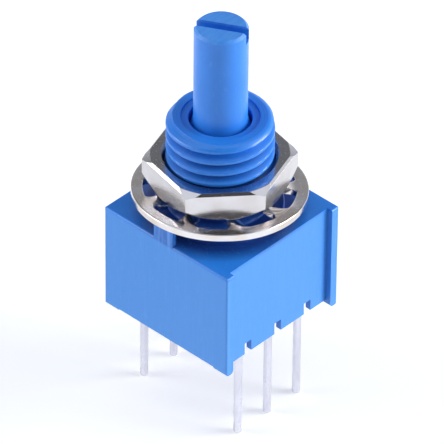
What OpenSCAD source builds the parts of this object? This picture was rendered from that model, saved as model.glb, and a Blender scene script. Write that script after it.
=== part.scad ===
// Panel mount potentiometer: a 9.5 mm square sealed control with a threaded plastic bushing, a plain
// slotted shaft, a hex nut and a toothed lock washer, and two rows of pins for a circuit board.
// The origin is on the shaft's axis, in the plane of the shoulder that the panel bears on.
// +Z runs along the shaft to its slotted end. The terminals are on the -Y side, the lug on -X.

/* [Housing] */
// Width across the two plain sides
body_w = 9.53; // [9:0.01:14]
// Depth of the block, from the terminal panel to the plain back
body_d = 9.5; // [9:0.01:14]
// Height of the block, from its top face to the lower edge of the side walls
body_h = 7.07; // [6.6:0.01:12]
// Thickness of the side walls and the back wall
wall = 0.7; // [0.5:0.05:0.9]
// Thickness of the terminal panel
panel_t = 0.38; // [0.3:0.02:0.6]
// Thickness of the roof over the rotor
roof_t = 1.0; // [0.8:0.05:1.5]
// Radius on the outer edges
edge_r = 0.14; // [0.05:0.01:0.25]

/* [Posts and feet] */
// Width of each corner post
post_w = 0.6; // [0.4:0.05:0.7]
// How far the posts stand proud of the terminal panel
post_proud = 0.36; // [0.2:0.02:0.6]
// Height of the feet below the side walls
foot_h = 0.22; // [0.1:0.01:0.6]
// Length of each foot along the side wall
foot_len = 1.05; // [0.8:0.05:1.6]
// Radius on the lower corners of the posts and feet
foot_r = 0.24; // [0.1:0.01:0.29]
// How far the panel's lower edge stands above that of the side walls
panel_lift = 0.18; // [0.05:0.01:0.4]
// Width of the notches behind which the terminals stand
notch_w = 0.56; // [0.3:0.02:0.9]
// Height of the notches
notch_h = 0.8; // [0.4:0.05:0.9]

/* [Shoulder and locating lug] */
// Diameter of the round shoulder
shoulder_d = 7.6; // [7:0.05:9]
// Height of the shoulder above the block
shoulder_h = 0.35; // [0.2:0.05:0.8]
// Width of the lug that stops the housing turning in its panel
lug_w = 1.5; // [1:0.05:2.5]
// Thickness of the lug
lug_t = 0.3; // [0.25:0.01:0.6]
// Height of the lug above the block
lug_h = 1.19; // [0.9:0.01:1.8]

/* [Bushing] */
// Outside diameter of the thread
bushing_d = 6.35; // [5.2:0.01:7]
// Length above the shoulder
bushing_l = 6.25; // [5:0.05:10]
// Chamfer at the end of the thread
bushing_chamfer = 0.5; // [0.2:0.05:0.7]
// Diameter of the shallow dish in the bushing's end
dish_d = 4.64; // [4.2:0.02:5]
// Depth of the dish
dish_depth = 0.1; // [0.05:0.01:0.3]

/* [Shaft and rotor] */
// Diameter of the free end of the shaft
shaft_d = 3.175; // [2.6:0.005:3.85]
// Length of the shaft above the shoulder
shaft_l = 12.7; // [9:0.05:22]
// Bevel round the shaft's end
shaft_bevel = 0.15; // [0.05:0.01:0.3]
// Width of the screwdriver slot
slot_w = 0.6; // [0.4:0.05:1]
// Depth of the screwdriver slot
slot_depth = 0.8; // [0.5:0.05:1.2]
// Direction of the slot, from +X
slot_angle = 118.5; // [0:0.5:180]
// How much the journal's radius exceeds that of the free end
journal_step = 0.2125; // [0.17:0.0025:0.25]
// How far below the bushing's end the journal stops
journal_drop = 0.7; // [0.5:0.05:2]
// Length of the taper from the journal to the free end
journal_taper = 0.6; // [0.3:0.05:1.2]
// Radial clearance of the journal in its bearing
bearing_gap = 0.05; // [0.02:0.01:0.09]
// Thickness of the rotor
rotor_t = 1.15; // [0.8:0.05:1.6]
// Height of the space below the rotor in which the wiper springs
wiper_space = 0.7; // [0.6:0.05:1]
// Radial depth of the two stops
stop_depth = 0.45; // [0.3:0.05:0.6]
// Mechanical travel from stop to stop, in degrees
travel = 300; // [240:5:310]
// Width of the fixed stop, in degrees
stop_width = 28; // [20:1:36]

/* [Shaft seal] */
// Thickness of the sealing ring
seal_section = 0.85; // [0.6:0.05:0.9]

/* [Element and wiper] */
// Thickness of the ceramic plate
ceramic_t = 0.635; // [0.5:0.005:0.8]
// Thickness of the printed tracks
film_t = 0.04; // [0.02:0.01:0.05]
// Middle radius of the resistive track
track_r = 2.75; // [2.6:0.05:2.85]
// Width of the resistive track
track_w = 0.8; // [0.6:0.05:0.9]
// Middle radius of the collector ring
collector_r = 1.3; // [1.2:0.05:1.4]
// Width of the collector ring
collector_w = 0.6; // [0.4:0.05:0.7]
// Thickness of the wiper's sheet
wiper_t = 0.1; // [0.06:0.01:0.12]
// Width of each wiper finger
finger_w = 0.16; // [0.1:0.01:0.18]

/* [Pins] */
// Diameter of the pins
pin_d = 0.5; // [0.4:0.01:0.6]
// Distance between neighbouring pins in a row
pin_pitch = 2.54; // [2:0.01:3]
// Distance between the two rows
row_spacing = 7.62; // [7:0.01:7.7]
// Length of the pins below the feet
pin_l = 6.15; // [2.5:0.05:12]
// Thickness of the carrier that holds the support pins
carrier_t = 1.1; // [0.8:0.05:1.6]
// Depth from the lower edge of the side walls up to the sealing resin
resin_recess = 1.17; // [1.1:0.01:1.4]

/* [Lock washer] */
// Outside diameter
washer_d = 10.4; // [9.4:0.05:12]
// Thickness of the sheet
washer_t = 0.45; // [0.3:0.05:0.5]
// Width of the plain rim outside the gaps
washer_rim = 0.7; // [0.5:0.05:1]
// Number of inner teeth
teeth = 9; // [7:1:9]
// Width of a tooth
tooth_w = 0.85; // [0.6:0.05:0.9]
// Twist of each tooth at its tip, in degrees
tooth_twist = 30; // [15:1:40]
// Radial room between the bushing and the teeth
tooth_gap = 0.23; // [0.2:0.01:0.3]
// Direction of the first tooth, from +X
tooth_phase = 36.9; // [0:0.1:40]
// Direction in which the loose washer is propped up by the lug
lean_dir = 212; // [190:1:225]

/* [Nut] */
// Width across the flats
nut_af = 7.9; // [7.6:0.05:9.5]
// Thickness
nut_t = 2; // [1.2:0.05:2.4]
// Direction of one corner, from +X
nut_phase = 18.1; // [0:0.1:60]
// Radial room between the nut's thread and the bushing
thread_gap = 0.05; // [0.02:0.01:0.09]
// Bevel along the top edges
nut_bevel = 0.15; // [0.05:0.01:0.2]
// Slope of the turned chamfer under the corners, in degrees
nut_chamfer_slope = 47; // [30:1:50]

/* [Hidden] */
$fn = 72;

over = 1; // how far a cutting shape runs past what it cuts
touch = 0.02; // gap left between loose pieces that bear on each other
slip = 0.05; // gap round pieces that are dropped into their place
run_gap = 0.08; // gap between the rotor's stop and the wall it sweeps

case_blue = [0.20, 0.49, 0.90];
steel = [0.78, 0.77, 0.75];
tin = [0.86, 0.86, 0.88];
gold = [0.86, 0.68, 0.32];

// Levels, from the shoulder down
block_top = -shoulder_h;
roof_under = block_top - roof_t;
rotor_top = roof_under - slip;
rotor_under = rotor_top - rotor_t;
ceramic_top = rotor_under - wiper_space;
ceramic_under = ceramic_top - ceramic_t;
carrier_top = ceramic_under - slip;
carrier_under = carrier_top - carrier_t;
wall_under = block_top - body_h;
resin_under = wall_under + resin_recess;
panel_under = wall_under + panel_lift;
feet_under = wall_under - foot_h;
pin_end = feet_under - pin_l;
shank_under = feet_under + 0.05;

// Plan of the housing
side_x = body_w / 2;
back_y = body_d / 2;
panel_y = -body_d / 2;
post_y = panel_y - post_proud;
pocket_x = side_x - wall;
pocket_back = back_y - wall;
pocket_front = panel_y + panel_t;
ledge = 0.17; // least width of the ledge that the ceramic plate faces
cavity_r = min(pocket_x, pocket_back, -pocket_front) - ledge;
rotor_r = cavity_r - stop_depth;
rotor_stop_width = 360 - travel - stop_width - 0.6;

// Shaft, bearing and seal
shaft_r = shaft_d / 2;
journal_r = shaft_r + journal_step;
bearing_r = journal_r + bearing_gap;
journal_end = bushing_l - journal_drop;
bushing_r = bushing_d / 2;
seal_in = journal_r + touch;
gland_r = seal_in + seal_section + touch / 2;
gland_depth = seal_section + 0.1;

// Pins: the rows are centred on the housing's whole depth, posts included
pin_r = pin_d / 2;
pin_draw = 0.01; // how far a pin narrows or swells inside the case
row_mid = -post_proud / 2;
front_row = row_mid - row_spacing / 2;
back_row = row_mid + row_spacing / 2;
pin_xs = [-pin_pitch, 0, pin_pitch];
solder_r = 0.45;
solder_y = front_row + 0.07; // the solder reaches inwards, onto the contact
solder_h = 0.25;
head_r = 0.36; // swaged heads of the support pins
head_h = 0.25;

// Wiper, which points along +Y at mid travel
wiper_under = rotor_under - wiper_t;
contact_z = ceramic_top + film_t + touch;
stake_r = 0.2;
stake_y = (track_r + collector_r) / 2;
stake_xs = [-0.35, 0.58];
stem_x = [0.2, 0.95];

// Lock washer, propped between the shoulder and the lug
washer_r = washer_d / 2;
gap_r = washer_r - washer_rim;
gap_corner = 0.45;
root_r = gap_r - gap_corner;
tip_r = bushing_r + tooth_gap;
tooth_drop = (tooth_w * sin(tooth_twist) + washer_t * cos(tooth_twist) - washer_t) / 2;
lug_top = block_top + lug_h;
lug_reach = -(side_x - lug_t) * cos(lean_dir) + lug_w / 2 * sin(lean_dir);
lean_slope = (lug_top - tooth_drop) / (lug_reach + tip_r);
lean = atan(lean_slope);
washer_z = tooth_drop + lean_slope * tip_r + 2 * touch;

// Nut, seated on the washer's highest tooth
nut_z = washer_z + lean_slope * (tip_r + 0.2) + washer_t + tooth_drop + touch;
nut_bore = bushing_r + thread_gap;
nut_corner = nut_af / 2 / cos(30);

// A rectangle from one corner to the other with round corners
module round_rect(low, high, r) {
    size = high - low;
    translate(low + [r, 0]) square([size.x - 2 * r, size.y]);
    translate(low + [0, r]) square([size.x, size.y - 2 * r]);
    for (x = [low.x + r, high.x - r], y = [low.y + r, high.y - r]) translate([x, y]) circle(r);
}

// A solid that fills a box from one corner to the other
module block(low, high) {
    translate(low) cube(high - low);
}

// A bar whose end view is drawn in X and Z, running along Y
module along_y(y0, y1) {
    translate([0, y1, 0]) rotate([90, 0, 0]) linear_extrude(y1 - y0) children();
}

// A bar whose end view is drawn in Y and Z, running along X
module along_x(x0, x1) {
    translate([x0, 0, 0]) rotate([90, 0, 90]) linear_extrude(x1 - x0) children();
}

// Part of a ring, from one height to another
module sector(r_in, r_out, middle, sweep, z0, z1) {
    translate([0, 0, z0]) rotate([0, 0, middle - sweep / 2]) rotate_extrude(angle = sweep)
        translate([r_in, 0]) square([r_out - r_in, z1 - z0]);
}

// The block with its posts and feet, before it is hollowed
module housing_block() {
    intersection() {
        union() {
            block([-side_x, panel_y, wall_under], [side_x, back_y, block_top]);
            for (side = [0, 1]) mirror([side, 0, 0]) {
                along_y(post_y, post_y + foot_len)
                    round_rect([side_x - post_w, feet_under], [side_x, block_top + 2 * foot_r], foot_r);
                along_y(back_y - foot_len, back_y)
                    round_rect([side_x - post_w, feet_under], [side_x, wall_under + 1], foot_r);
            }
        }
        translate([0, 0, feet_under]) linear_extrude(block_top - feet_under)
            round_rect([-side_x, post_y], [side_x, back_y], edge_r);
        along_y(post_y, back_y)
            round_rect([-side_x, feet_under - 2 * foot_r], [side_x, block_top], edge_r);
        along_x(-side_x, side_x)
            round_rect([post_y, feet_under - 2 * foot_r], [back_y, block_top], edge_r);
    }
}

// Outside of the shoulder and bushing
module bushing_outside() {
    rim = 0.06;
    rotate_extrude() polygon([
        [0, block_top - roof_t / 2], [shoulder_d / 2, block_top - roof_t / 2],
        [shoulder_d / 2, -rim], [shoulder_d / 2 - rim, 0],
        [bushing_r, 0], [bushing_r, bushing_l - bushing_chamfer],
        [bushing_r - bushing_chamfer, bushing_l], [0, bushing_l]
    ]);
}

// Everything that is hollow round the axis: dish, bearing, gland and rotor space
module axial_hollow() {
    lead_in = 0.05;
    rotate_extrude() polygon([
        [0, bushing_l + over], [dish_d / 2, bushing_l + over],
        [dish_d / 2, bushing_l - dish_depth], [bearing_r + lead_in, bushing_l - dish_depth],
        [bearing_r, bushing_l - dish_depth - lead_in],
        [bearing_r, roof_under + gland_depth], [gland_r, roof_under + gland_depth],
        [gland_r, roof_under], [cavity_r, roof_under],
        [cavity_r, ceramic_top - over], [0, ceramic_top - over]
    ]);
}

module housing() {
    color(case_blue) {
        difference() {
            union() {
                housing_block();
                bushing_outside();
                block([-side_x, -lug_w / 2, block_top - edge_r], [-side_x + lug_t, lug_w / 2, lug_top]);
            }
            axial_hollow();
            // Pocket for the ceramic plate, the carrier and the resin
            block([-pocket_x, pocket_front, feet_under - over], [pocket_x, pocket_back, ceramic_top + slip]);
            // The panel's lower edge, and a notch in it for each terminal
            block([-side_x + post_w, post_y - over, feet_under - over], [side_x - post_w, 0, panel_under]);
            for (x = pin_xs)
                block([x - notch_w / 2, post_y - over, feet_under - over],
                    [x + notch_w / 2, 0, panel_under + notch_h]);
            // Room over the plate for the soldered ends of the terminals
            for (x = pin_xs) translate([x, solder_y, ceramic_top])
                cylinder(h = solder_h + 2 * slip, r = solder_r + slip);
        }
        sector(rotor_r + run_gap, cavity_r + ledge / 2, 270, stop_width, rotor_under, roof_under);
    }
}

module shaft() {
    color(case_blue) difference() {
        union() {
            rotate_extrude() polygon([
                [0, rotor_under], [rotor_r, rotor_under], [rotor_r, rotor_top],
                [journal_r, rotor_top], [journal_r, journal_end], [shaft_r, journal_end + journal_taper],
                [shaft_r, shaft_l - shaft_bevel], [shaft_r - shaft_bevel, shaft_l], [0, shaft_l]
            ]);
            sector(rotor_r - stop_depth, cavity_r - run_gap, 90, rotor_stop_width, rotor_under, rotor_top);
            for (x = stake_xs) translate([x, stake_y, wiper_under - wiper_t])
                cylinder(h = rotor_t, r = stake_r);
        }
        rotate([0, 0, slot_angle])
            block([-shaft_d, -slot_w / 2, shaft_l - slot_depth], [shaft_d, slot_w / 2, shaft_l + over]);
    }
}

// A spring finger: it leaves the stem, slopes down to the track and turns up again past it
module finger(y) {
    along_y(y - finger_w / 2, y + finger_w / 2) polygon([
        [stem_x[0] + 0.1, rotor_under], [stem_x[0], rotor_under],
        [-0.46, contact_z + wiper_t], [-0.54, contact_z + wiper_t], [-0.72, contact_z + 2.6 * wiper_t],
        [-0.8, contact_z + 2 * wiper_t], [-0.58, contact_z], [-0.42, contact_z],
        [stem_x[0], wiper_under], [stem_x[0] + 0.1, wiper_under]
    ]);
}

module wiper() {
    inner = collector_r - collector_w / 2;
    outer = track_r + track_w / 2;
    color(gold) {
        translate([0, 0, wiper_under]) linear_extrude(wiper_t) difference() {
            union() {
                translate([stem_x[0], inner]) square([stem_x[1] - stem_x[0], outer - inner]);
                translate([stake_xs[0] - 0.4, stake_y - 0.32]) square([stem_x[1] - stake_xs[0], 0.64]);
            }
            for (x = stake_xs) translate([x, stake_y]) circle(stake_r + touch / 2);
        }
        for (i = [-1, 0, 1]) finger(track_r - 0.06 + i * (finger_w + 0.06));
        for (i = [-0.5, 0.5]) finger(collector_r - 0.08 + i * (finger_w + 0.06));
    }
}

module seal_ring() {
    color([0.12, 0.12, 0.13]) translate([0, 0, roof_under + gland_depth / 2])
        rotate_extrude() translate([seal_in + seal_section / 2, 0]) circle(seal_section / 2);
}

module ceramic_plate() {
    low = [-pocket_x + slip, pocket_front + slip];
    notch = pin_r + slip;
    color([0.93, 0.92, 0.88]) translate([0, 0, ceramic_under]) linear_extrude(ceramic_t) difference() {
        translate(low) square([pocket_x - slip, pocket_back - slip] - low);
        for (x = pin_xs) {
            translate([x, front_row]) circle(notch);
            translate([x - notch, low.y - over]) square([2 * notch, front_row - low.y + over]);
        }
    }
}

// Flat print on the ceramic plate, clear of the terminals' notches
module print_on_plate() {
    translate([0, 0, ceramic_top]) linear_extrude(film_t) difference() {
        children();
        for (x = pin_xs) translate([x, front_row]) circle(pin_r + slip);
    }
}

module resistive_track() {
    color([0.16, 0.15, 0.15])
        sector(track_r - track_w / 2, track_r + track_w / 2, 90, travel, ceramic_top, ceramic_top + film_t);
}

module collector_track() {
    color([0.80, 0.80, 0.78]) print_on_plate() difference() {
        union() {
            circle(collector_r + collector_w / 2);
            translate([-0.3, front_row]) square([0.6, -front_row]);
        }
        circle(collector_r - collector_w / 2);
    }
}

// The printed conductor from one end of the track to its terminal; side is -1 or 1
module end_contact(side) {
    end = travel / 2;
    width = 10; // degrees of the ring that the conductor takes up next to the track
    ring_at = function(r, turn) [side * r * sin(end + turn), r * cos(end + turn)];
    color([0.80, 0.80, 0.78]) print_on_plate() polygon([
        ring_at(track_r + track_w / 2, 0), ring_at(track_r - track_w / 2, 0),
        ring_at(track_r - track_w / 2, width), ring_at(track_r + track_w / 2, width),
        [side * (pin_pitch - 0.45), front_row + 0.2], [side * (pin_pitch - 0.3), front_row],
        [side * (pin_pitch + 0.4), front_row], [side * (pin_pitch + 0.4), front_row + 0.6]
    ]);
}

// A round pin with a small dome at its lower end; its shank inside the case goes evenly over to top_r
module pin(x, y, top_r, z_top) {
    dome = 0.12;
    translate([x, y, 0]) rotate_extrude() polygon([
        [0, pin_end], [pin_r - dome, pin_end], [pin_r - dome / 3, pin_end + dome / 3],
        [pin_r, pin_end + dome], [pin_r, shank_under], [top_r, z_top], [0, z_top]
    ]);
}

// A terminal's wire, drawn in towards the notch of the ceramic plate
module terminal_wire(x) {
    pin(x, front_row, pin_r - pin_draw, ceramic_top + 0.1);
}

// A support pin, swollen towards the end that is swaged to a cone; rise carries the cone's seat on upwards
module support_wire(x, rise) {
    pin(x, back_row, pin_r + pin_draw, carrier_top - head_h);
    translate([x, back_row, carrier_top - head_h]) rotate_extrude() polygon([
        [0, 0], [pin_r + pin_draw, 0], [head_r, head_h], [head_r, head_h + rise], [0, head_h + rise]
    ]);
}

module terminal(i) {
    color(tin) terminal_wire(pin_xs[i - 1]);
}

// A dome of solder over a terminal's end
module solder(i) {
    dome_r = (solder_r * solder_r + solder_h * solder_h) / 2 / solder_h;
    color(tin) difference() {
        translate([pin_xs[i - 1], solder_y, ceramic_top + film_t]) rotate_extrude() intersection() {
            translate([0, solder_h - dome_r]) circle(dome_r);
            square([solder_r, solder_h]);
        }
        terminal_wire(pin_xs[i - 1]);
    }
}

module support_pin(i) {
    color(tin) support_wire(pin_xs[i - 1], 0);
}

module pin_carrier() {
    low = [-pocket_x + slip, pocket_front + slip];
    color([0.13, 0.13, 0.14]) difference() {
        block([low.x, low.y, carrier_under], [pocket_x - slip, pocket_back - slip, carrier_top]);
        for (x = pin_xs) {
            translate([x, front_row, carrier_under - over]) cylinder(h = carrier_t + 2 * over, r = pin_r + slip);
            support_wire(x, over);
        }
    }
}

module sealing_resin() {
    color([0.10, 0.22, 0.45]) difference() {
        block([-pocket_x, pocket_front, resin_under], [pocket_x, pocket_back, carrier_under]);
        for (x = pin_xs) {
            terminal_wire(x);
            support_wire(x, over);
        }
    }
}

// The washer before it is tilted: a rim, gaps with round outer corners, and twisted teeth
module flat_washer() {
    pitch = 360 / teeth;
    gap_half = root_r * sin(pitch / 2) - tooth_w / 2 + 0.02;
    edge = 0.06;
    difference() {
        rotate_extrude() polygon([
            [root_r, 0], [washer_r - edge, 0], [washer_r, edge],
            [washer_r, washer_t - edge], [washer_r - edge, washer_t], [root_r, washer_t]
        ]);
        for (i = [0 : teeth - 1]) rotate([0, 0, (i + 0.5) * pitch])
            translate([0, 0, -over]) linear_extrude(washer_t + 2 * over) {
                translate([root_r - 1, -gap_half]) square([1, 2 * gap_half]);
                translate([root_r - 1, -gap_half + gap_corner])
                    square([1 + gap_corner, 2 * (gap_half - gap_corner)]);
                for (side = [-1, 1])
                    translate([root_r, side * (gap_half - gap_corner)]) circle(gap_corner);
            }
    }
    for (i = [0 : teeth - 1]) rotate([0, 0, i * pitch])
        translate([root_r + 0.12, 0, washer_t / 2]) rotate([0, -90, 0])
            linear_extrude(height = root_r + 0.12 - tip_r, twist = -tooth_twist, slices = 6, segments = 4)
                square([washer_t - 0.01, tooth_w], center = true);
}

module lock_washer() {
    color(steel) translate([0, 0, washer_z])
        rotate(a = lean, v = [sin(lean_dir), -cos(lean_dir), 0])
            rotate([0, 0, tooth_phase]) flat_washer();
}

// Two opposite flats of the nut, with the bevel along their top edges
module nut_flats(turn) {
    half = nut_af / 2;
    rotate([0, 0, turn]) along_y(-nut_af, nut_af) polygon([
        [-half, 0], [half, 0], [half, nut_t - nut_bevel], [half - nut_bevel, nut_t],
        [-half + nut_bevel, nut_t], [-half, nut_t - nut_bevel]
    ]);
}

module mounting_nut() {
    foot_circle = nut_af / 2 - 0.11;
    crown_circle = nut_af / 2 + 0.1;
    crown_slope = 28; // turned chamfer over the corners, in degrees
    reach = nut_corner + 0.1;
    sink = 0.2; // countersink at each end of the thread
    color(steel) translate([0, 0, nut_z]) rotate([0, 0, nut_phase]) difference() {
        intersection() {
            nut_flats(30);
            nut_flats(90);
            nut_flats(150);
            rotate_extrude() polygon([
                [0, 0], [foot_circle, 0], [reach, (reach - foot_circle) * tan(nut_chamfer_slope)],
                [reach, nut_t - (reach - crown_circle) * tan(crown_slope)], [crown_circle, nut_t], [0, nut_t]
            ]);
        }
        rotate_extrude() polygon([
            [0, -over], [nut_bore + sink, -over], [nut_bore + sink, 0], [nut_bore, sink],
            [nut_bore, nut_t - sink], [nut_bore + sink, nut_t], [nut_bore + sink, nut_t + over],
            [0, nut_t + over]
        ]);
    }
}

housing();
shaft();
wiper();
seal_ring();
ceramic_plate();
resistive_track();
collector_track();
end_contact(-1);  // end_contact_1
end_contact(1);  // end_contact_3
terminal(1);  // terminal_1
terminal(2);  // terminal_2
terminal(3);  // terminal_3
solder(1);  // solder_1
solder(2);  // solder_2
solder(3);  // solder_3
support_pin(1);  // support_pin_1
support_pin(2);  // support_pin_2
support_pin(3);  // support_pin_3
pin_carrier();
sealing_resin();
lock_washer();
mounting_nut();
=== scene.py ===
import bpy, bmesh, math
import numpy as np
from mathutils import Matrix, Vector


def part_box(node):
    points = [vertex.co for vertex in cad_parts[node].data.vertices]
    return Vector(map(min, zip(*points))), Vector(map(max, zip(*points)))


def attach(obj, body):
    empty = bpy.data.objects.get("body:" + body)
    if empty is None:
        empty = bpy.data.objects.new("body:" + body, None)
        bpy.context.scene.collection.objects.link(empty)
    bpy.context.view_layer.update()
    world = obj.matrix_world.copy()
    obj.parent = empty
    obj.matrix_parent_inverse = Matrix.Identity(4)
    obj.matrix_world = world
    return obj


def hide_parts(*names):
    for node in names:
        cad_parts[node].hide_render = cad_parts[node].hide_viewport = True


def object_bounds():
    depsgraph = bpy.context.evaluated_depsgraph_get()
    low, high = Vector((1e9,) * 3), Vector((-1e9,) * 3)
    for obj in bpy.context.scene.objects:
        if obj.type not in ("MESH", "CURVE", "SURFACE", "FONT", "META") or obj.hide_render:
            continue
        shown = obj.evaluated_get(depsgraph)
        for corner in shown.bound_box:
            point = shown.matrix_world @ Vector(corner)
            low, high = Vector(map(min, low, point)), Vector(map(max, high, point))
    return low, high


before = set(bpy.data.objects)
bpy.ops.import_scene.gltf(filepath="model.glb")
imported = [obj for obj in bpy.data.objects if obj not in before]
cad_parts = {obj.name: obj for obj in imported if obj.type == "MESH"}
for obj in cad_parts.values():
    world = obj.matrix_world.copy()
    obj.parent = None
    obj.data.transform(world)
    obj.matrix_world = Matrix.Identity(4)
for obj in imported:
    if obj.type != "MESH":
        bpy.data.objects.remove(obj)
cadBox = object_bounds()
mm = 0.001
print("frame loaded:", len(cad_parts), "nodes")


# Shader maths: a socket that can be written into sums, each operator adding a Math node
class Wave:
    def __init__(self, tree, socket):
        self.tree, self.socket = tree, socket

    def math(self, operation, *values):
        return self.tree.add("ShaderNodeMath", {"operation": operation}, dict(enumerate(values)))

    def __add__(self, other):
        return self.math("ADD", self, other)

    def __radd__(self, other):
        return self.math("ADD", other, self)

    def __sub__(self, other):
        return self.math("SUBTRACT", self, other)

    def __rsub__(self, other):
        return self.math("SUBTRACT", other, self)

    def __mul__(self, other):
        return self.math("MULTIPLY", self, other)

    def __rmul__(self, other):
        return self.math("MULTIPLY", other, self)

    def __truediv__(self, other):
        return self.math("DIVIDE", self, other)

    def __rtruediv__(self, other):
        return self.math("DIVIDE", other, self)

    def size(self):
        return self.math("ABSOLUTE", self)

    def sine(self):
        return self.math("SINE", self)

    def between(self, low=0.0, high=1.0):
        return self.math("MINIMUM", self.math("MAXIMUM", self, low), high)

    def ramp(self, start, end):  # 0 below start, 1 above end
        return ((self - start) / (end - start)).between()


# A node tree that is filled node by node
class Tree:
    def __init__(self, owner):
        owner.use_nodes = True
        self.nodes, self.links = owner.node_tree.nodes, owner.node_tree.links
        self.nodes.clear()

    def add(self, kind, settings=None, inputs=None, output=0):
        node = self.nodes.new(kind)
        for key, value in (settings or {}).items():
            setattr(node, key, value)
        for key, value in (inputs or {}).items():
            if isinstance(value, Wave):
                self.links.new(value.socket, node.inputs[key])
            else:
                node.inputs[key].default_value = value
        return Wave(self, node.outputs[output])

    def ends(self, kind, shader):
        self.links.new(shader.socket, self.nodes.new(kind).inputs["Surface"])

    def spot(self, draw=(1, 1, 1)):  # object coordinates in millimetres, stretched along the axes
        place = self.add("ShaderNodeTexCoord", output="Object")
        perMetre = [share / mm for share in draw]
        return self.add("ShaderNodeVectorMath", {"operation": "MULTIPLY"}, {0: place, 1: perMetre})

    def noise(self, scale, detail, draw=(1, 1, 1)):
        place = self.spot(draw)
        return self.add("ShaderNodeTexNoise", {}, {"Vector": place, "Scale": scale, "Detail": detail})

    def mix(self, factor, first, second):
        return self.add("ShaderNodeMix", {"data_type": "RGBA"}, {0: factor, 6: first, 7: second}, output=2)

    def bump(self, height, depth):  # depth in millimetres
        return self.add("ShaderNodeBump", {}, {"Height": height, "Distance": depth * mm})

    def surface(self, **inputs):  # a Principled finish; an underscore stands for a space in a socket's name
        inputs = {key.replace("_", " "): value for key, value in inputs.items()}
        self.ends("ShaderNodeOutputMaterial", self.add("ShaderNodeBsdfPrincipled", {}, inputs))


# A linear colour from display values of 0 to 255: a straight line near black, a power of 2.4 above it
def screen(red, green, blue):
    line = [c / 255 for c in (red, green, blue)]
    return [c / 12.92 if c <= 0.04045 else ((c + 0.055) / 1.055) ** 2.4 for c in line] + [1.0]


# Blue moulded plastic: broad clouds of a slightly deeper blue, short glass fibres as pale flecks, fine
# eroded grain. The marks function of a piece adds painted sheen on its walls in the wall tone, what is rubbed
# or lightened as a painted highlight, turned rings, and painted shade in its cavities in the shade tone. In
# each look, a scale is a pattern's waves for each millimetre, draw squeezes them along x, y and z where it is
# over 1 and draws them out where it is under 1, and a fade is the pair of values between which a pattern
# comes in. Grain is how deep the grain is in millimetres, and the heights of rubbed or highlighted places and
# rings are counted in grains.
bluePlastic = {"base": screen(43, 131, 227), "deep": screen(37, 123, 219), "fleck": screen(96, 164, 242),
               "wall": screen(62, 139, 221), "shade": screen(15, 46, 124), "rough": 0.32, "roughSpread": 0.2,
               "cloudScale": 0.45, "cloudFade": (0.3, 0.7), "fibreScale": 7.0, "fibreDraw": (1, 1, 0.25),
               "fibreFade": (0.62, 0.8), "fibrePale": 0.22, "grainScale": 11.0, "grain": 0.004,
               "rubbedHeight": 2.0, "ior": 1.55, "specular": 0.5}


def mouldedBlue(name, marks):
    look = bluePlastic
    material = bpy.data.materials.new(name)
    tree = Tree(material)
    clouds = tree.noise(look["cloudScale"], 2.0).ramp(*look["cloudFade"])
    grain = tree.noise(look["grainScale"], 4.0)
    fibres = tree.noise(look["fibreScale"], 1.0, look["fibreDraw"]).ramp(*look["fibreFade"])
    paintedSheen, rubbedAndHighlight, rings, cavityShade = marks(tree)
    pale = (fibres * look["fibrePale"] + rubbedAndHighlight).between()
    height = grain + rubbedAndHighlight * look["rubbedHeight"] + rings
    blue = tree.mix(clouds, look["deep"], look["base"])
    # Painted sheen lightens the walls towards the wall tone, and painted shade darkens the cavities towards
    # the shade tone
    blue = tree.mix(cavityShade, tree.mix(paintedSheen, blue, look["wall"]), look["shade"])
    tree.surface(Base_Color=tree.mix(pale, blue, look["fleck"]), Normal=tree.bump(height, look["grain"]),
                 Roughness=look["rough"] + (grain - 0.5) * look["roughSpread"],
                 IOR=look["ior"], Specular_IOR_Level=look["specular"])
    return material


# The housing's own marks: a paler blue down the case's sides that is painted sheen, and faint drag lines
# there, stronger lines where the lug leaves its mould, a painted highlight along the front corner's edge,
# fine turned rings on the end of the bushing, and painted shade in the thread's grooves and in the hollow
# under the washer. Places are pairs of millimetres between which a mark fades in, measured along an axis,
# for postEdge from the posts' face, and for groove and hollow from the shaft's axis.
housingLook = {"sideTop": (-0.6, -0.4), "lugFace": (4.3, 4.6), "lugHalf": (0.7, 0.8), "lugFoot": (-0.9, -0.3),
               "lugLines": 0.8, "sideLines": 0.1, "lineScale": 6.0, "lineDraw": (1, 1, 0.05),
               "lineFade": (0.45, 0.7), "corner": (4.3, 4.76), "postEdge": (-0.07, -0.03), "cornerHighlight": 0.35,
               "ringPitch": 0.17, "ringStart": (5.6, 5.8), "ringHeight": 0.45, "groove": (2.7, 3.1),
               "threadFoot": (0.2, 0.4), "threadEnd": (5.3, 5.6), "grooveShade": 0.8, "hollow": (4.2, 5.3),
               "hollowTop": (0.3, 1.3), "hollowShade": 0.9}


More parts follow.
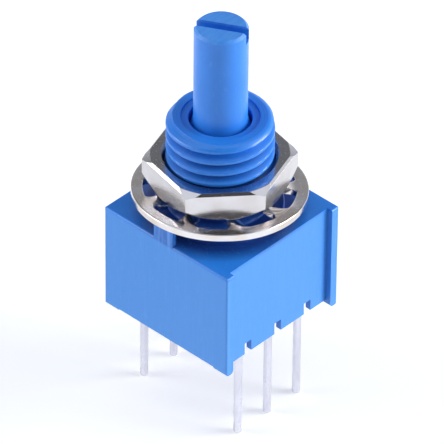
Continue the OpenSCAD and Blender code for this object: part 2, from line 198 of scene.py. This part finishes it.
def housingMarks(tree):
    look = housingLook
    x, y, z = (tree.add("ShaderNodeSeparateXYZ", {}, {0: tree.spot()}, output=axis) for axis in range(3))
    radius = tree.add("ShaderNodeVectorMath", {"operation": "LENGTH"}, {0: tree.spot((1, 1, 0))}, output=1)
    left, front, postFace = -1 * x, -1 * y, -1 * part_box("housing")[0].y / mm
    lines = tree.noise(look["lineScale"], 3.0, look["lineDraw"]).ramp(*look["lineFade"])
    onSides, onEnd = 1 - z.ramp(*look["sideTop"]), z.ramp(*look["ringStart"])
    onLug = left.ramp(*look["lugFace"]) * (1 - y.size().ramp(*look["lugHalf"])) * z.ramp(*look["lugFoot"])
    rings = (radius * (2 * math.pi / look["ringPitch"])).sine() * onEnd * look["ringHeight"]
    onThread = z.ramp(*look["threadFoot"]) * (1 - z.ramp(*look["threadEnd"]))
    # Painted shade: the thread's grooves and the hollow under the washer are darkened towards the shade tone
    groove = (1 - radius.ramp(*look["groove"])) * onThread
    hollow = (1 - radius.ramp(*look["hollow"])) * (1 - z.ramp(*look["hollowTop"])) * z.ramp(*look["sideTop"])
    postEdge = front.ramp(*(postFace + outwards for outwards in look["postEdge"]))
    # Painted highlight: the front corner's edge is lightened, and counted with what is rubbed
    corner = left.ramp(*look["corner"]) * postEdge * look["cornerHighlight"]
    rubbedAndHighlight = lines * (onLug * look["lugLines"] + onSides * look["sideLines"]) + onSides * corner
    # The sides' mask is returned as the painted sheen on the walls
    return onSides, rubbedAndHighlight, rings, groove * look["grooveShade"] + hollow * look["hollowShade"]


# The shaft's own marks: its end is rubbed pale in short streaks
shaftLook = {"end": (12.5, 12.56), "pale": 0.35, "streaks": 0.25, "streakScale": 2.5,
             "streakDraw": (0.4, 2.5, 1), "streakFade": (0.4, 0.7)}


def shaftMarks(tree):
    look = shaftLook
    z = tree.add("ShaderNodeSeparateXYZ", {}, {0: tree.spot()}, output=2)
    streaks = tree.noise(look["streakScale"], 4.0, look["streakDraw"]).ramp(*look["streakFade"])
    return 0.0, z.ramp(*look["end"]) * (streaks * look["streaks"] + look["pale"]), 0.0, 0.0


# Bright nickel over tumbled brass or steel: warmer clouds, rubbing marks of a height in millimetres, small
# dull spots
nickelPlate = {"base": screen(219, 217, 220), "warm": screen(210, 206, 205), "markHeight": 0.0015}
stampedPlate = {"base": screen(233, 231, 232), "warm": screen(224, 214, 205), "markHeight": 0.002}
plating = {"rough": 0.19, "roughSpread": 0.12, "spotRough": 0.12, "cloudScale": 0.7,
           "cloudFade": (0.35, 0.65), "markScale": 3.0, "markDraw": (1, 1, 3), "spotScale": 14.0,
           "spotFade": (0.25, 0.4)}


def platedMetal(name, look):
    material = bpy.data.materials.new(name)
    tree = Tree(material)
    clouds = tree.noise(plating["cloudScale"], 2.0).ramp(*plating["cloudFade"])
    marks = tree.noise(plating["markScale"], 4.0, plating["markDraw"])
    dull = 1 - tree.noise(plating["spotScale"], 2.0).ramp(*plating["spotFade"])
    rough = plating["rough"] + (marks - 0.5) * plating["roughSpread"] + dull * plating["spotRough"]
    tree.surface(Base_Color=tree.mix(clouds, look["base"], look["warm"]), Metallic=1.0, Roughness=rough,
                 Normal=tree.bump(marks, look["markHeight"]))
    return material


# Hot-tinned wire: bright, with ripples drawn out along its length, their height in millimetres
tinnedWire = {"base": screen(230, 230, 238), "dull": screen(216, 216, 226), "rough": 0.3, "roughSpread": 0.2,
              "rippleScale": 3.0, "rippleDraw": (1, 1, 0.3), "rippleFade": (0.3, 0.7), "rippleHeight": 0.01}


def tinned(name):
    look = tinnedWire
    material = bpy.data.materials.new(name)
    tree = Tree(material)
    ripples = tree.noise(look["rippleScale"], 3.0, look["rippleDraw"])
    tones = tree.mix(ripples.ramp(*look["rippleFade"]), look["base"], look["dull"])
    tree.surface(Base_Color=tones, Metallic=1.0, Normal=tree.bump(ripples, look["rippleHeight"]),
                 Roughness=look["rough"] + (ripples - 0.5) * look["roughSpread"])
    return material


# What lies inside and underneath: two close tones in clouds, with a fine bump of a height in millimetres
insideLook = {"fade": (0.3, 0.7), "roughSpread": 0.2}


def clouded(name, first, second, rough, metallic=0.0, scale=2.0, height=0.004):
    material = bpy.data.materials.new(name)
    tree = Tree(material)
    clouds = tree.noise(scale, 4.0)
    tones = tree.mix(clouds.ramp(*insideLook["fade"]), screen(*first), screen(*second))
    tree.surface(Base_Color=tones, Metallic=metallic, Normal=tree.bump(clouds, height),
                 Roughness=rough + (clouds - 0.5) * insideLook["roughSpread"])
    return material


caseBlue = mouldedBlue("caseBlue", housingMarks)
shaftBlue = mouldedBlue("shaftBlue", shaftMarks)
nutNickel = platedMetal("nutNickel", nickelPlate)
washerNickel = platedMetal("washerNickel", stampedPlate)
wireTin = tinned("wireTin")
inside = {
    "wiper": clouded("springAlloy", (214, 184, 120), (200, 168, 104), rough=0.25, metallic=1.0),
    "seal_ring": clouded("sealRubber", (30, 30, 32), (44, 44, 46), rough=0.5),
    "ceramic_plate": clouded("firedAlumina", (236, 232, 222), (226, 222, 210), rough=0.55),
    "resistive_track": clouded("resistivePrint", (34, 32, 32), (52, 48, 46), rough=0.6),
    "collector_track": clouded("silverPrint", (196, 196, 192), (176, 174, 168), rough=0.4, metallic=1.0),
    "pin_carrier": clouded("carrierPlastic", (34, 34, 36), (46, 46, 48), rough=0.5),
    "sealing_resin": clouded("pouredResin", (34, 74, 142), (28, 62, 124), rough=0.2, scale=0.8, height=0.02),
}
inside["end_contact_1"] = inside["end_contact_3"] = inside["collector_track"]
for name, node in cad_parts.items():  # solder is tin, as the wires are; what is replaced doesn't show
    node.data.materials.clear()
    node.data.materials.append(inside.get(name, wireTin))
print("finishes made")


weld = 0.0004 * mm  # points nearer to each other than this are one point
flatWithin = math.radians(0.3)  # faces that turn by less than this are one face


# A mesh from points[row, column], its columns closed into rings
def ringMesh(name, points):
    rows, columns = points.shape[:2]
    index = np.arange(rows * columns).reshape(rows, columns)
    after = np.roll(index, -1, 1)
    quads = np.stack([index[:-1], after[:-1], after[1:], index[1:]], -1).reshape(-1, 4)
    mesh = bpy.data.meshes.new(name)
    mesh.from_pydata(points.reshape(-1, 3), [], quads.tolist())
    return mesh


# Points at a radius from the z axis, at an angle round it, and at a height
def turned(radius, angle, height):
    return np.stack(np.broadcast_arrays(radius * np.cos(angle), radius * np.sin(angle), height), -1)


def smoothStep(share):  # from 0 to 1 and level at both: three of its squares less two of its cubes
    return share * share * (3 - 2 * share)


# A shape from a mesh, its doubled points merged, which also joins the loose triangles of a node's mesh
def merged(mesh):
    shape = bmesh.new()
    shape.from_mesh(mesh)
    bmesh.ops.remove_doubles(shape, verts=shape.verts, dist=weld)
    return shape


def flattened(shape):  # the small faces that lie in one plane made one face
    bmesh.ops.dissolve_limit(shape, angle_limit=flatWithin, verts=shape.verts, edges=shape.edges)


def sharpBy(shape, degrees):  # edges that turn by more than this stay sharp
    for face in shape.faces:
        face.smooth = True
    for edge in shape.edges:
        edge.smooth = len(edge.link_faces) == 2 and edge.calc_face_angle(0) < math.radians(degrees)


def added(name, data):  # an object put into the scene, at the origin
    thing = bpy.data.objects.new(name, data)
    bpy.context.scene.collection.objects.link(thing)
    return thing


# A finished piece in place of a node, on the node's body; rounding is the width of its softened sharp edges
def placed(shape, name, node, body, material, slotName, sharp, rounding=0.0):
    mesh = bpy.data.meshes.new(name)
    sharpBy(shape, sharp)
    openEdges = sum(1 for edge in shape.edges if len(edge.link_faces) != 2)
    print(name + ":", len(shape.faces), "faces,", openEdges, "open edges")
    shape.to_mesh(mesh)
    shape.free()
    mesh.materials.append(material)
    piece = added(name, mesh)
    if rounding:
        bevel = piece.modifiers.new("roundedEdges", "BEVEL")
        bevel.width, bevel.segments, bevel.limit_method = rounding, 2, "ANGLE"
        bevel.angle_limit, bevel.harden_normals = math.radians(sharp), True
    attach(piece, body)
    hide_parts(node)


# The thread of bushing and nut. Crest and root are the shares of a turn over which the radius stays level,
# and soft is how much of the climb between them is eased.
thread = {"pitch": 25.4 / 32 * mm, "depth": 0.48 * mm, "crest": 0.2, "root": 0.04, "soft": 0.25,
          "rowsPerTurn": 30}


# The thread's radius after some turns: the crest's, less the depth where the root is, and on the flanks
# between them a straight climb with a share of smooth step in it, which rounds the corners
def threadRadius(turns, crestRadius):
    height = np.abs((turns % 1.0) - 0.5) * 2  # 0 in the middle of the root, 1 in the middle of the crest
    climb = np.clip((height - thread["root"]) / (1 - thread["root"] - thread["crest"]), 0, 1)
    soft = thread["soft"]
    return crestRadius - thread["depth"] * (1 - (1 - soft) * climb - soft * smoothStep(climb))


# A threaded wall over the given heights, on a grid of height and angle. The helix climbs one pitch for each
# turn, as a right-hand screw does, and its phase is counted from the bushing's top, so that nut and bushing
# stay in mesh. limit gives the radius of the rounded end or countersink at each height, which choose weighs
# against it.
def threadedWall(heights, angle, crestRadius, limit, choose):
    z = heights[:, None]
    turns = (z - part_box("housing")[1].z) / thread["pitch"] - angle[None, :] / (2 * np.pi)
    radius = choose(threadRadius(turns, crestRadius), limit(z))
    radius[0, :], radius[-1, :] = limit(heights[0]), limit(heights[-1])
    return turned(radius, angle, z)


# The housing is its node's mesh with the bushing's plain wall taken off, from the shoulder to the top, and
# a threaded one welded in along both rims. The bushing's end is rounded: its radius there is a quarter
# circle over height. Near is how far a point of the node may lie off the wall or rim that it belongs to.
bushing = {"radius": 3.175 * mm, "round": 0.5 * mm, "near": 0.006 * mm, "columns": 192, "endRows": 18,
           "sharp": 38}


def threadedHousing():
    top, crest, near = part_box("housing")[1].z, bushing["radius"], bushing["near"]
    start = top - bushing["round"]
    rows = int(start / thread["pitch"] * thread["rowsPerTurn"])
    end = start + bushing["round"] * np.sin(np.linspace(0, np.pi / 2, bushing["endRows"]))
    angle = np.linspace(0, 2 * np.pi, bushing["columns"], endpoint=False)

    def roundedEnd(z):  # the quarter circle's centre lies one rounding inside the crest
        over = np.maximum(z - start, 0)
        return crest - bushing["round"] + np.sqrt(np.maximum(bushing["round"] ** 2 - over ** 2, 0))

    heights = np.concatenate([np.linspace(0, start, rows), end[1:]])
    wall = threadedWall(heights, angle, crest, roundedEnd, np.minimum)
    shape = merged(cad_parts["housing"].data)

    def onWall(vert):  # on the cylinder, or on the 45 degree chamfer at its end
        radius, z = math.hypot(vert.co.x, vert.co.y), vert.co.z
        return -near < z < top + near and abs(radius - min(crest, crest + start - z)) < near

    plain = [f for f in shape.faces if abs(f.normal.z) < 0.9 and all(onWall(v) for v in f.verts)]
    bmesh.ops.delete(shape, geom=plain, context="FACES")
    rims = [e for e in shape.edges if len(e.link_faces) == 1]
    old = set(shape.edges)
    shape.from_mesh(ringMesh("threadWall", wall))
    rims += [e for e in shape.edges if e not in old and len(e.link_faces) == 1]
    for level in (0.0, top):
        atLevel = [e for e in rims if all(abs(v.co.z - level) < near for v in e.verts)]
        bmesh.ops.bridge_loops(shape, edges=atLevel)
    bmesh.ops.recalc_face_normals(shape, faces=shape.faces)
    flattened(shape)
    placed(shape, "threaded_housing", "housing", "case", caseBlue, "blue_plastic", bushing["sharp"])


# A run of profile points, [point, column, radius and height], with each inner corner turned into a short
# curve: a quadratic one from reach before the corner to reach after it, or from a share of a short side,
# between two rows a little further out that keep the faces beside it flat
def softCorners(stations, reach, shareOfSide=0.3, furtherOut=1.6):
    share = np.linspace(0, 1, 5)[:, None, None]
    rows = [stations[:1]]
    for before, corner, after in zip(stations, stations[1:], stations[2:]):
        sides = []
        for side in (before - corner, after - corner):
            length = np.maximum(np.linalg.norm(side, axis=-1, keepdims=True), 1e-9)
            sides.append(side / length * np.minimum(reach, shareOfSide * length))
        back, on = sides
        curve = (1 - share) ** 2 * (corner + back) + 2 * share * (1 - share) * corner
        curve = curve + share ** 2 * (corner + on)
        rows += [(corner + furtherOut * back)[None], curve, (corner + furtherOut * on)[None]]
    return np.concatenate(rows + [stations[-1:]])


# The nut: half is from its axis to a flat, corner the radius of its six corners, crown and foot are the radii
# at which its turned ends leave the top and bottom faces, a slope is how steeply such a cone runs outwards,
# and soft is the reach of the rounding along its profile
nut = {"half": 3.95 * mm, "turn": math.radians(18.1), "bevel": 0.15 * mm, "corner": 0.08 * mm,
       "crown": 4.05 * mm, "crownSlope": math.tan(math.radians(28)), "foot": 3.84 * mm,
       "footSlope": math.tan(math.radians(47)), "bore": 3.225 * mm, "countersink": 0.2 * mm,
       "soft": 0.035 * mm, "columns": 432, "sharp": 50}


# The hexagon's radius at each angle from the middle of a flat: half over the angle's cosine along the flat,
# and near a corner an arc whose centre lies on the line from the axis to the corner
def nutSide(fromFlat):
    half, arc, toCorner = nut["half"], nut["corner"], np.pi / 6 - fromFlat
    centre = (half - arc) / np.cos(np.pi / 6)
    rounded = centre * np.cos(toCorner) + np.sqrt(np.maximum(arc ** 2 - (centre * np.sin(toCorner)) ** 2, 0))
    onFlat = half * np.tan(fromFlat) < (half - arc) * np.tan(np.pi / 6)
    return np.where(onFlat, half / np.cos(fromFlat), rounded)


# The nut on a grid of angle and profile. A 45 degree bevel runs along the flats' top edges, a turned cone
# cuts the corners at both ends, and whichever is nearer to the axis holds. Inside, the thread's crests are
# opened by a countersink at each end.
def threadedNut():
    low, high = (corner.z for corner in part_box("mounting_nut"))
    angle = nut["turn"] + np.linspace(0, 2 * np.pi, nut["columns"], endpoint=False)
    side = nutSide(np.abs((angle - nut["turn"]) % (np.pi / 3) - np.pi / 6))
    zero, crown, slope, foot = 0 * side, nut["crown"], nut["crownSlope"], nut["foot"]
    steep, flat = side / nut["half"], nut["half"] - nut["bevel"]  # the bevel grows by steep for a step down
    sideStart = np.maximum(nut["bevel"], (side - crown) * slope)
    meet = np.clip((crown - steep * flat) / (steep - 1 / slope), 0, sideStart)  # where bevel and cone cross
    meetRadius = np.minimum(steep * (flat + meet), crown + meet / slope)
    sideEnd = np.maximum(0, side - foot) * nut["footSlope"]
    sunk = nut["bore"] + nut["countersink"] + zero
    stations = [(sunk, high), (np.minimum(steep * flat, crown), high), (meetRadius, high - meet),
                (side, high - sideStart), (side, low + sideEnd), (foot + zero, low), (sunk, low)]
    outer = softCorners(np.stack([np.stack([radius, z + zero], -1) for radius, z in stations]), nut["soft"])
    shell = turned(outer[..., 0], angle, outer[..., 1])

    def sink(z):  # inside every groove along the bore, and the countersink's cone at its ends
        depth = nut["countersink"] - np.minimum(z - low, high - z)
        return np.where(depth > 0, nut["bore"] + depth, 0)

    rows = int((high - low) / thread["pitch"] * thread["rowsPerTurn"])
    wall = threadedWall(np.linspace(low, high, rows), angle, nut["bore"] + thread["depth"], sink, np.maximum)
    shape = merged(ringMesh("nutShell", np.concatenate([wall, shell])))
    bmesh.ops.recalc_face_normals(shape, faces=shape.faces)
    placed(shape, "threaded_nut", "mounting_nut", "nut", nutNickel, "nickel_plate", nut["sharp"])


# The shaft is its node's mesh, with its sharp edges softened
shaft = {"rounding": 0.03 * mm, "sharp": 30}


def mouldedShaft():
    shape = merged(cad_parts["shaft"].data)
    flattened(shape)
    placed(shape, "moulded_shaft", "shaft", "rotor", shaftBlue, "blue_plastic", **shaft)


threadedHousing()
threadedNut()
mouldedShaft()


# Round wires. Head is the radius of a support pin's swaged end, and shank the height up to which a wire is
# free; above it a terminal is drawn thinner and a support pin is swollen.
wire = {"radius": 0.25 * mm, "dome": 0.12 * mm, "draw": 0.01 * mm, "head": 0.36 * mm, "headHeight": 0.25 * mm,
        "shank": -7.59 * mm, "domeRows": 8, "columns": 48, "sharp": 50}


# A profile of radius over height, turned about the wire's middle line. The tip is a quarter circle, and
# above the free stretch the radius changes along straight lines.
def roundWire(node, headed):
    low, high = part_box(node)
    tip = np.linspace(np.pi / 2, 0, wire["domeRows"])
    domeRadius = wire["radius"] - wire["dome"] * (1 - np.cos(tip))
    domeHeight = low.z + wire["dome"] * (1 - np.sin(tip))
    if headed:
        endRadius = [wire["radius"] + wire["draw"], wire["head"]]
        endHeight = [high.z - wire["headHeight"], high.z]
    else:
        endRadius = [wire["radius"] - wire["draw"]]
        endHeight = [high.z]
    radius = np.concatenate([[0], domeRadius, [wire["radius"]], endRadius, [0]])[:, None]
    height = np.concatenate([[low.z], domeHeight, [wire["shank"]], endHeight, [high.z]])[:, None]
    angle = np.linspace(0, 2 * np.pi, wire["columns"], endpoint=False)[None, :]
    middle = (low + high) / 2
    shape = merged(ringMesh(node, turned(radius, angle, height) + (middle.x, middle.y, 0)))
    bmesh.ops.recalc_face_normals(shape, faces=shape.faces)
    placed(shape, "round_" + node, node, "case", wireTin, "tinned_wire", wire["sharp"])


for number in (1, 2, 3):
    roundWire("terminal_" + str(number), False)
    roundWire("support_pin_" + str(number), True)


# Lock washer: a flat ring, and teeth that twist more and more on their way in. Gap is the ring's inner
# radius, root how deep in the ring a tooth starts, straight how far it comes out of the ring before it
# twists, sink how much thinner it is inside the ring, so that no two faces lie in one plane, and leastEdge
# the edge radius that is left at its tip.
washer = {"outer": 5.195 * mm, "gap": 4.5 * mm, "tip": 3.405 * mm, "thick": 0.45 * mm, "edge": 0.05 * mm,
          "teeth": 9, "width": 0.85 * mm, "flare": 0.45 * mm, "root": 0.3 * mm, "straight": 0.08 * mm,
          "sink": 0.004 * mm, "leastEdge": 0.005 * mm, "twist": math.radians(30), "capRows": 5,
          "firstTooth": math.radians(36.9), "leanTowards": math.radians(212), "around": 240, "along": 28,
          "sharp": 50}


# The outline of a rounded bar, one row for each given half width, half thickness and edge radius: each
# corner is a quarter circle, and points lie along the two long sides
def barOutline(halfWidth, halfThick, edge):
    halfWidth, halfThick, edge = (np.atleast_1d(value)[:, None] for value in (halfWidth, halfThick, edge))
    arc = np.linspace(0, np.pi / 2, 5)[None, :]
    side = np.linspace(1, -1, 9)[None, 1:-1]
    inner, flat, along = halfWidth - edge, halfThick - edge, np.ones_like(side)
    bow, rise = edge * np.cos(arc), edge * np.sin(arc)
    across = [inner + bow, inner * side, -inner - rise, -inner - bow, -inner * side, inner + rise]
    height = [flat + rise, halfThick * along, flat + bow, -flat - rise, -halfThick * along, -flat - bow]
    return np.concatenate(across, 1), np.concatenate(height, 1)


# The ring: the bar's outline carried once round the axis. It closes on itself both ways.
def washerRing():
    middle, half = (washer["outer"] + washer["gap"]) / 2, (washer["outer"] - washer["gap"]) / 2
    across, height = barOutline(half, washer["thick"] / 2, washer["edge"])
    angle = np.linspace(0, 2 * np.pi, washer["around"], endpoint=False)[:, None]
    points = turned(middle + across, angle, height)
    return np.concatenate([points, points[:1]])


# One tooth: the bar's outline carried inwards from inside the ring. Its width flares into the ring along a
# quarter circle. It turns about its own middle line by the twist times a share that is half a straight
# climb and half a smooth step, and its last rows round off the tip along a quarter circle.
def washerTooth(turn):
    edge, gap, flare = washer["edge"], washer["gap"], washer["flare"]
    run = np.linspace(gap + washer["root"], washer["tip"] + edge, washer["along"])
    cap = np.linspace(0, np.pi / 2, washer["capRows"])[1:]
    radius = np.concatenate([run, washer["tip"] + edge - edge * np.sin(cap)])
    shrink = np.concatenate([0 * run, edge * (1 - np.cos(cap))])
    spread = flare - np.sqrt(flare ** 2 - np.clip(radius - (gap - flare), 0, flare) ** 2)
    twistStart = gap - washer["straight"]
    share = np.clip((twistStart - radius) / (twistStart - washer["tip"]), 0, 1)
    twist = (washer["twist"] * (share + smoothStep(share)) / 2)[:, None]
    thinner = shrink + np.clip((radius - gap - edge) / edge, 0, 1) * washer["sink"]
    tighter = np.minimum(edge, edge - thinner + washer["leastEdge"])
    v, w = barOutline(washer["width"] / 2 + spread - shrink, washer["thick"] / 2 - thinner, tighter)
    outwards, across = radius[:, None], v * np.cos(twist) + w * np.sin(twist)
    x = outwards * np.cos(turn) - across * np.sin(turn)
    y = outwards * np.sin(turn) + across * np.cos(turn)
    return np.stack([x, y, w * np.cos(twist) - v * np.sin(twist)], -1)


# The washer leans on the lug as its node does: the node's thin direction gives the lean, and the middle of
# its box the place
def lockWasher():
    solid = np.empty(len(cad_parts["lock_washer"].data.vertices) * 3, np.float32)
    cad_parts["lock_washer"].data.vertices.foreach_get("co", solid)
    solid = solid.reshape(-1, 3).astype(float)
    middle = (solid.min(0) + solid.max(0)) / 2
    normal = np.linalg.svd(solid - solid.mean(0))[2][2]
    normal *= np.sign(normal[2])
    shape = merged(ringMesh("washerRing", washerRing()))
    for turn in washer["firstTooth"] + np.arange(washer["teeth"]) * 2 * np.pi / washer["teeth"]:
        shape.from_mesh(ringMesh("washerTooth", washerTooth(turn)))
    bmesh.ops.holes_fill(shape, edges=[e for e in shape.edges if len(e.link_faces) == 1])
    bmesh.ops.recalc_face_normals(shape, faces=shape.faces)
    lean = math.acos(normal[2])
    axis = Vector((math.sin(washer["leanTowards"]), -math.cos(washer["leanTowards"]), 0))
    leaning = Matrix.Translation(middle) @ Matrix.Rotation(lean, 4, axis)
    bmesh.ops.transform(shape, matrix=leaning, verts=shape.verts)
    print("washer leans by", round(math.degrees(lean), 2), "degrees")
    placed(shape, "twisted_tooth_washer", "lock_washer", "washer", washerNickel, "nickel_plate",
           washer["sharp"])


lockWasher()
print("pieces made")


# The direction from the object to a place round it, with azimuth counted from the front to the right: the
# azimuth's sine and its cosine forwards, both times the elevation's cosine, and the elevation's sine upwards
def towards(azimuth, elevation):
    side, rise = math.radians(azimuth), math.radians(elevation)
    return Vector((math.sin(side) * math.cos(rise), -math.cos(side) * math.cos(rise), math.sin(rise)))


# Camera: it looks down on the front left corner with a long lens, and aims close to the middle of the
# case's top. Right and up are how far the frame is moved from there.
view = {"azimuth": -47.061, "elevation": 38.670, "roll": 0.6, "distance": 0.4, "lens": 556.2, "sensor": 36.0,
        "near": 0.01, "far": 10.0, "aim": (0, 0, -0.35 * mm), "right": 0.143 * mm, "up": -0.994 * mm}
back, roll = towards(view["azimuth"], view["elevation"]), math.radians(view["roll"])
levelRight = Vector((0, 0, 1)).cross(back).normalized()
levelUp = back.cross(levelRight)
right = math.cos(roll) * levelRight + math.sin(roll) * levelUp
up = -math.sin(roll) * levelRight + math.cos(roll) * levelUp
lens = bpy.data.cameras.new("camera")
lens.lens, lens.sensor_width = view["lens"], view["sensor"]
lens.clip_start, lens.clip_end = view["near"], view["far"]
camera = added("camera", lens)
camera.location = Vector(view["aim"]) + back * view["distance"] + right * view["right"] + up * view["up"]
camera.rotation_mode = "QUATERNION"
camera.rotation_quaternion = Matrix((right, up, back)).transposed().to_quaternion()
bpy.context.scene.camera = camera

# Pale floor under the pins' tips; what the camera and mirror-like faces see of it is lifted to white, and
# from below it doesn't hide the part
paper = {"reach": 0.8, "colour": (0.88, 0.88, 0.88, 1), "lift": 0.32}
corners = [(x * paper["reach"], y * paper["reach"]) for x, y in ((-1, -1), (1, -1), (1, 1), (-1, 1))]
floorMesh = bpy.data.meshes.new("floor")
floorMesh.from_pydata([(x, y, cadBox[0].z) for x, y in corners], [], [(0, 1, 2, 3)])
floorPaper = bpy.data.materials.new("paper")
tree = Tree(floorPaper)
seen, mirrored, through = (tree.add("ShaderNodeLightPath", output=ray)
                           for ray in ("Is Camera Ray", "Is Glossy Ray", "Is Transmission Ray"))
lift = (seen + mirrored + through).between() * paper["lift"]
matte = tree.add("ShaderNodeBsdfDiffuse", {}, {"Color": paper["colour"]})
glow = tree.add("ShaderNodeEmission", {}, {"Strength": lift})
lifted = tree.add("ShaderNodeAddShader", {}, {0: matte, 1: glow})
clear = tree.add("ShaderNodeBsdfTransparent")
fromBelow = tree.add("ShaderNodeNewGeometry", output="Backfacing")
sheet = tree.add("ShaderNodeMixShader", {}, {0: fromBelow, 1: lifted, 2: clear})
tree.ends("ShaderNodeOutputMaterial", sheet)
floorMesh.materials.append(floorPaper)
floor = added("floor", floorMesh)

# The room is a white light tent: pale to the left, to the right and overhead, open and dark behind the
# object from low down upwards, and darker still on the camera's side, high up and where the camera looks in.
# White and dark are strengths of light, and mostFront is how many times as far as the back the front is
# darkened. A pair gives the values between which a dark part begins, of a direction's share towards the back
# or the front or of its height, each of which is 1 at most.
room = {"white": 0.95, "dark": 0.19, "mostFront": 1.17, "tint": (0.91, 0.95, 1.04, 1), "back": (0.25, 0.45),
        "backHeight": (0.1, 0.55), "high": (0.36, 0.46), "highHeight": (0.6, 0.7), "opening": (0.45, 0.8),
        "openingHeight": (0.0, 0.25)}
world = bpy.data.worlds.new("room")
bpy.context.scene.world = world
tree = Tree(world)
direction = tree.add("ShaderNodeTexCoord", output="Generated")
height = tree.add("ShaderNodeSeparateXYZ", {}, {0: direction}, output=2)
away = -1 * towards(view["azimuth"], 0)
behind = tree.add("ShaderNodeVectorMath", {"operation": "DOT_PRODUCT"}, {0: direction, 1: away}, output=1)
front = -1 * behind
atBack = behind.ramp(*room["back"]) * height.ramp(*room["backHeight"])
highUp = front.ramp(*room["high"]) * height.ramp(*room["highHeight"])
opening = front.ramp(*room["opening"]) * height.ramp(*room["openingHeight"])
dark = (atBack + (highUp + opening) * room["mostFront"]).between(0, room["mostFront"])
light = room["white"] + dark * (room["dark"] - room["white"])
lit = tree.add("ShaderNodeBackground", {}, {"Color": room["tint"], "Strength": light})
tree.ends("ShaderNodeOutputWorld", lit)

# Two soft disk lamps, low to the left and right of the camera; sizes in metres, power in watts
lamps = {"keyLamp": {"azimuth": 40, "elevation": 12, "distance": 0.5, "size": 0.3, "power": 2.8},
         "fillLamp": {"azimuth": -136, "elevation": 12, "distance": 0.5, "size": 0.3, "power": 1.3}}
for name, place in lamps.items():
    disk = bpy.data.lights.new(name, "AREA")
    disk.shape, disk.size, disk.energy = "DISK", place["size"], place["power"]
    lamp = added(name, disk)
    direction = towards(place["azimuth"], place["elevation"])
    lamp.location = direction * place["distance"]
    lamp.rotation_mode = "QUATERNION"
    lamp.rotation_quaternion = direction.to_track_quat("Z", "Y")
bpy.context.scene.view_settings.view_transform = "Standard"
print("studio ready")
